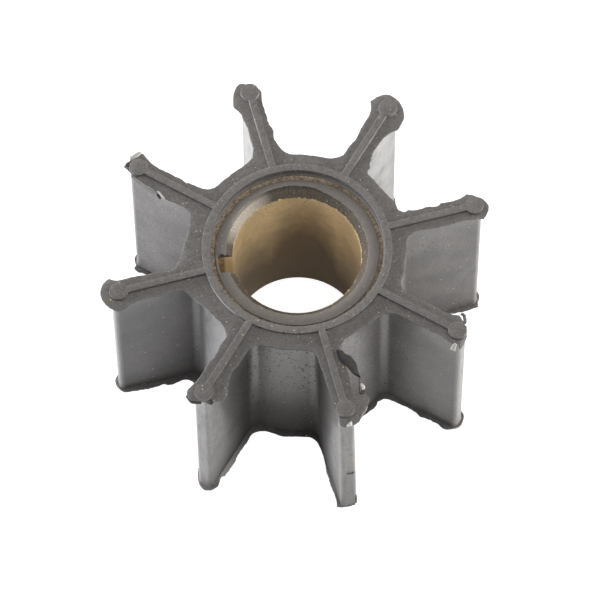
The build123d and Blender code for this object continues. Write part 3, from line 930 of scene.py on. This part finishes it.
    body, fine_dust = speckle(body, (0.45, 0.39, 0.33), up, place, 1600, 0.21, 0.34)
    body, dust = speckle(body, (0.55, 0.47, 0.36), 1.0, place, 1000, 0.15, 0.12)
    body, brass_specks = speckle(body, (0.80, 0.52, 0.20), up, place, 700, 0.15, 0.06)
    body = speckle(body, (0.22, 0.21, 0.20), times(wall, nodes.minus(1.0, painted_shade)), place, 2300, 0.32, 0.40)[0]
    # Painted shade on the rounded top edges of the beads.
    body = lay(body, (0.03, 0.028, 0.026), rounded, fade(height, top - 0.12, top - 0.07, 0.0, 0.5))
    # Torn bits are painted black as shade or pale as a highlight, by their attribute.
    tone = nodes.add("Attribute", attribute_name="tone").outputs["Fac"]
    body = lay(body, (0.50, 0.47, 0.44), fade(tone, 0.0, 1.0, 0.0, 0.8))
    body = lay(body, (0.012, 0.011, 0.010), fade(tone, 0.0, -1.0, 0.0, 0.95))
    nodes.put(shader["Base Color"], body)
    rough = nodes.plus(fade(mottle, 0.3, 0.7, 0.28, 0.42), times(painted_shade, 0.7), fade(tone, 0.0, -1.0, 0.0, 0.6),
                       times(flash_edge_shade, 0.4), times(rounded, 0.3))
    nodes.put(shader["Roughness"], rough)
    raised = nodes.plus(fine_dust, dust, brass_specks)
    relief = nodes.plus(times(grain, 0.3), times(mottle, 0.5), times(raised, 0.7), times(pits, -1.0))
    nodes.put(shader["Normal"], nodes.bump(relief, 0.5, 0.08))
    return material


def brass_material():
    """Dull brass bush.

    The bore is golden with stains near its rim and a dirty keyway, and darkens downwards with soot and
    painted shade, and on one side with painted shade. The lead-in is rough and grey, with a painted highlight
    on one side and painted glints. The end face is tan.
    """
    material, nodes, shader = new_material("bush_brass")
    place = nodes.place()
    times, fade, lay, noise, speckle = nodes.times, nodes.fade, nodes.lay, nodes.noise, nodes.speckle
    round_shaded_side = nodes.round_bore(place, shaded_side_angle)
    radius, height = round_shaded_side["Radius"], round_shaded_side["Height"]
    clouds = noise(place, 420, 4, 0.6)
    mottle = noise(place, 1500, 4, 0.65)
    rough_grain = noise(place, 5200, 3, 0.7)
    from_middle = nodes.alone("ABSOLUTE", nodes.minus(height, (bush_top + bush_bottom) / 2))
    half_land = (bush_top - bush_bottom) / 2 - (lead_in_radius - bore_radius)
    uneven = times(nodes.minus(mottle, 0.5), 0.7)
    past_land = nodes.minus(nodes.plus(from_middle, uneven), half_land)
    outside = nodes.maths("GREATER_THAN", radius, keyway_radius - 0.1)
    cone = times(fade(past_land, -0.05, 0.05), nodes.minus(1.0, outside))
    end = times(outside, nodes.maths("GREATER_THAN", nodes.alone("ABSOLUTE", nodes.facing()), 0.9))

    gold = lay((0.66, 0.50, 0.27), (0.80, 0.62, 0.36), fade(clouds, 0.3, 0.7))
    gold = lay(gold, (0.58, 0.41, 0.21), fade(mottle, 0.55, 0.75))
    # Painted shade and soot: the bore darkens downwards, and with painted shade on one side.
    shaded_side = fade(round_shaded_side["Along"], 0.85 * bore_radius, bore_radius)
    depth = nodes.plus(height, times(nodes.minus(clouds, 0.5), 6), times(shaded_side, -9.5),
                       times(nodes.round_bore(place, 0.0)["Along"], 0.22))
    soot_and_shade = fade(depth, 23, 8, 0.0, 0.94)
    gold = lay(gold, (0.18, 0.13, 0.082), soot_and_shade)
    in_keyway = fade(radius, lead_in_radius + 0.1, lead_in_radius + 0.4)
    gold = lay(gold, (0.17, 0.105, 0.045), in_keyway, fade(mottle, 0.35, 0.62, 0.35, 0.85))
    near_rim = times(fade(past_land, -4.5, 0.0, 0.0, 0.9), fade(clouds, 0.42, 0.58))
    gold, stain = speckle(gold, (0.06, 0.045, 0.03), near_rim, place, 1700, 0.40, 0.75)
    gold = speckle(gold, (0.16, 0.11, 0.06), 1.0, place, 2600, 0.22, 0.12)[0]

    grey = lay((0.052, 0.044, 0.035), (0.15, 0.127, 0.101), fade(rough_grain, 0.35, 0.75))
    # A painted highlight on one side of the lead-in.
    glint_side = fade(nodes.round_bore(place, glint_angle)["Cosine"], 0.86, 0.99)
    grey = lay(grey, (0.47, 0.42, 0.35), glint_side, fade(rough_grain, 0.2, 0.7, 0.35, 1.0))
    # Painted glints on the lead-in.
    grey = speckle(grey, (0.85, 0.78, 0.66), fade(clouds, 0.42, 0.55), place, 3200, 0.34, 0.14)[0]
    streaks = noise(nodes.drawn_out(place, 0.15), 2200, 3, 0.7)
    tan = lay((0.15, 0.118, 0.085), (0.37, 0.30, 0.22), fade(streaks, 0.38, 0.62))
    nodes.put(shader["Base Color"], lay(lay(gold, grey, cone), tan, end))
    nodes.put(shader["Metallic"], fade(soot_and_shade, 0.0, 0.9, 0.45, 0.1))
    nodes.put(shader["Specular IOR Level"], 0.08)
    nodes.put(shader["Roughness"], fade(clouds, 0.3, 0.7, 0.55, 0.68))
    relief = nodes.plus(times(rough_grain, cone), times(mottle, 0.3), times(stain, -0.4))
    nodes.put(shader["Normal"], nodes.bump(relief, 0.7, 0.12))
    return material


# Camera

# The camera was fitted to the tip discs in the photograph: azimuth and elevation of the way it looks from,
# the turn of its picture, its distance and the point that it looks at
camera_azimuth = math.radians(-104.589)
camera_elevation = math.radians(63.369)
camera_roll = math.radians(-0.532)
camera_distance = 919.74
camera_target = Vector((-1.37, -6.76, 27.52))
camera_lens = 374.55


def make_camera():
    """Camera whose axes come from its azimuth, elevation and roll."""
    back = Vector((math.cos(camera_elevation) * math.cos(camera_azimuth),
                   math.cos(camera_elevation) * math.sin(camera_azimuth), math.sin(camera_elevation)))
    right = Vector((0, 0, 1)).cross(back).normalized()
    upward = back.cross(right)
    cos_roll, sin_roll = math.cos(camera_roll), math.sin(camera_roll)
    x_axis = cos_roll * right + sin_roll * upward
    y_axis = -sin_roll * right + cos_roll * upward
    data = bpy.data.cameras.new("camera")
    data.lens = camera_lens
    data.sensor_width = 36
    data.clip_end = 10
    made = bpy.data.objects.new("camera", data)
    made.matrix_world = Matrix((x_axis, y_axis, back)).transposed().to_4x4()
    made.location = (camera_target + camera_distance * back) * MM
    bpy.context.scene.collection.objects.link(made)
    bpy.context.scene.camera = made


# Light and floor

lamp_distance = 1.2


def make_lamp(name, azimuth, elevation, width, height, brightness, colour=(1, 1, 1)):
    """Soft box that faces the impeller, of a size in metres and an even brightness."""
    azimuth, elevation = math.radians(azimuth), math.radians(elevation)
    direction = Vector((math.cos(elevation) * math.cos(azimuth), math.cos(elevation) * math.sin(azimuth),
                        math.sin(elevation)))
    data = bpy.data.lights.new(name, "AREA")
    data.shape = "RECTANGLE"
    data.size, data.size_y = width, height
    data.energy = brightness * math.pi * width * height
    data.color = colour
    made = bpy.data.objects.new(name, data)
    made.location = lamp_distance * direction
    made.rotation_euler = (-direction).to_track_quat("-Z", "Y").to_euler()
    bpy.context.scene.collection.objects.link(made)


def seen_share(nodes):
    """1 for what the camera sees straight, by reflection or through glass, and 0 for soft light."""
    path = nodes.add("LightPath").outputs
    seen = nodes.plus(path["Is Camera Ray"], path["Is Glossy Ray"], path["Is Transmission Ray"])
    return nodes.fade(seen, 0, 1)


def make_world():
    """Faint light from all round, and white where it is seen."""
    world = bpy.data.worlds.new("studio")
    bpy.context.scene.world = world
    world.use_nodes = True
    nodes = Nodes(world.node_tree)
    background = next(n for n in world.node_tree.nodes if n.type == "BACKGROUND").inputs
    nodes.put(background["Color"], (1, 1, 1))
    nodes.put(background["Strength"], nodes.fade(seen_share(nodes), 0, 1, 0.05, 1.0))


def make_floor():
    """Pale floor that the impeller lies on, white where no shadow falls."""
    mesh = bpy.data.meshes.new("floor")
    corners = [(-3, -3, 0), (3, -3, 0), (3, 3, 0), (-3, 3, 0)]
    mesh.from_pydata(corners, [], [(0, 1, 2, 3)])
    floor = bpy.data.objects.new("floor", mesh)
    bpy.context.scene.collection.objects.link(floor)
    material, nodes, shader = new_material("floor_paper")
    for name, value in {"Base Color": (0.5, 0.5, 0.5), "Roughness": 0.9, "Specular IOR Level": 0.0}.items():
        nodes.put(shader[name], value)
    glow = nodes.add("Emission", {"Color": (1, 1, 1), "Strength": nodes.times(seen_share(nodes), 0.95)})
    output = next(n for n in material.node_tree.nodes if n.type == "OUTPUT_MATERIAL")
    paper = shader["Base Color"].node.outputs[0]
    nodes.put(output.inputs["Surface"], nodes.add("AddShader", {0: paper, 1: glow.outputs[0]}).outputs[0])
    mesh.materials.append(material)


# The scene

make_camera()
make_world()
make_floor()
make_lamp("right_lamp", -15, 6, 0.94, 0.25, 31)
make_lamp("right_fill", 22.5, 6, 0.94, 0.25, 6)
make_lamp("right_high_lamp", -35, 30, 0.7, 0.5, 3)
make_lamp("left_lamp", 157.5, 6, 0.94, 0.25, 33.5, (0.94, 0.98, 1.05))
make_lamp("left_high_lamp", 180, 18, 0.7, 0.5, 5.5, (0.94, 0.98, 1.05))
make_lamp("back_lamp", 112.5, 10, 0.94, 0.4, 17.5)
make_lamp("high_lamp", -60, 65, 0.6, 0.6, 4.8)
make_lamp("front_lamp", -110, 40, 0.6, 0.6, 1.2)
bpy.context.scene.view_settings.view_transform = "Standard"

rubber = rubber_material()
brass = brass_material()

moulding = Shells()
add_star(moulding)
add_ring(moulding)
for vane in range(1, vane_count + 1):
    add_tip_disc(moulding, vane)
    add_rib(moulding, vane)
for bit in torn_bits:
    add_torn_bit(moulding, *bit)
moulding_piece = moulding.piece("rubber_moulding", rubber)
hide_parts("rubber_body")

bush = Shells()
add_bush(bush)
bush_piece = bush.piece("keyed_bush", brass, sharp=25.0)
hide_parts("hub_bush")

upper_film = Shells()
add_film(upper_film, bush_top, 1, 21)
upper_film_piece = upper_film.piece("upper_film", rubber)
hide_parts("upper_end_film")

lower_film = Shells()
add_film(lower_film, bush_bottom, -1, 31)
lower_film_piece = lower_film.piece("lower_film", rubber)
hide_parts("lower_end_film")
